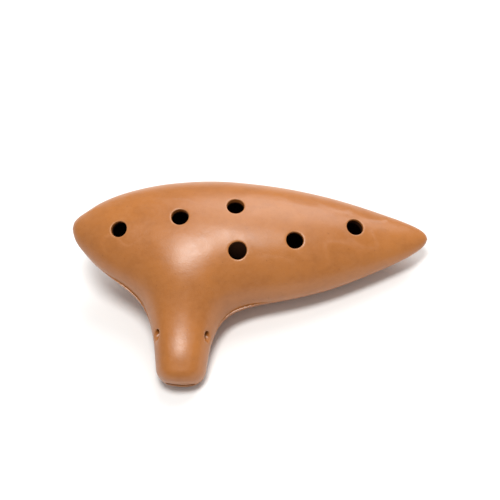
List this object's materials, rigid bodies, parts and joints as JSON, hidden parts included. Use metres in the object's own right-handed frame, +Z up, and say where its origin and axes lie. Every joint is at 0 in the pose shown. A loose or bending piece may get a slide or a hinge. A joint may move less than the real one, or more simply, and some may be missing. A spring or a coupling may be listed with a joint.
{
  "type": "ocarina",
  "caption": "Transverse clay ocarina: a hollow torpedo-shaped body with finger holes, a side beak with a flat airway, a sounding window in the belly and a lanyard tunnel.",
  "frame": {"origin": "middle of the box the ocarina fills, on the surface it rests on", "axes": "+X from the blunt nose to the pointed tail, -Y towards the beak, +Z up; the body lies at rest on its belly and the beak's lower edge"},
  "size_m": [0.144, 0.0838, 0.0392],
  "materials": {
    "burnished_clay": "burnished",
    "bare_clay": "matt"
  },
  "bodies": {
    "root": {"upper_shell": "burnished_clay", "lower_shell": "burnished_clay", "windway_roof": "bare_clay", "windway_floor": "bare_clay", "labium": "bare_clay", "seam_roll_front": "bare_clay", "seam_roll_back": "bare_clay"}
  },
  "joints": []
}
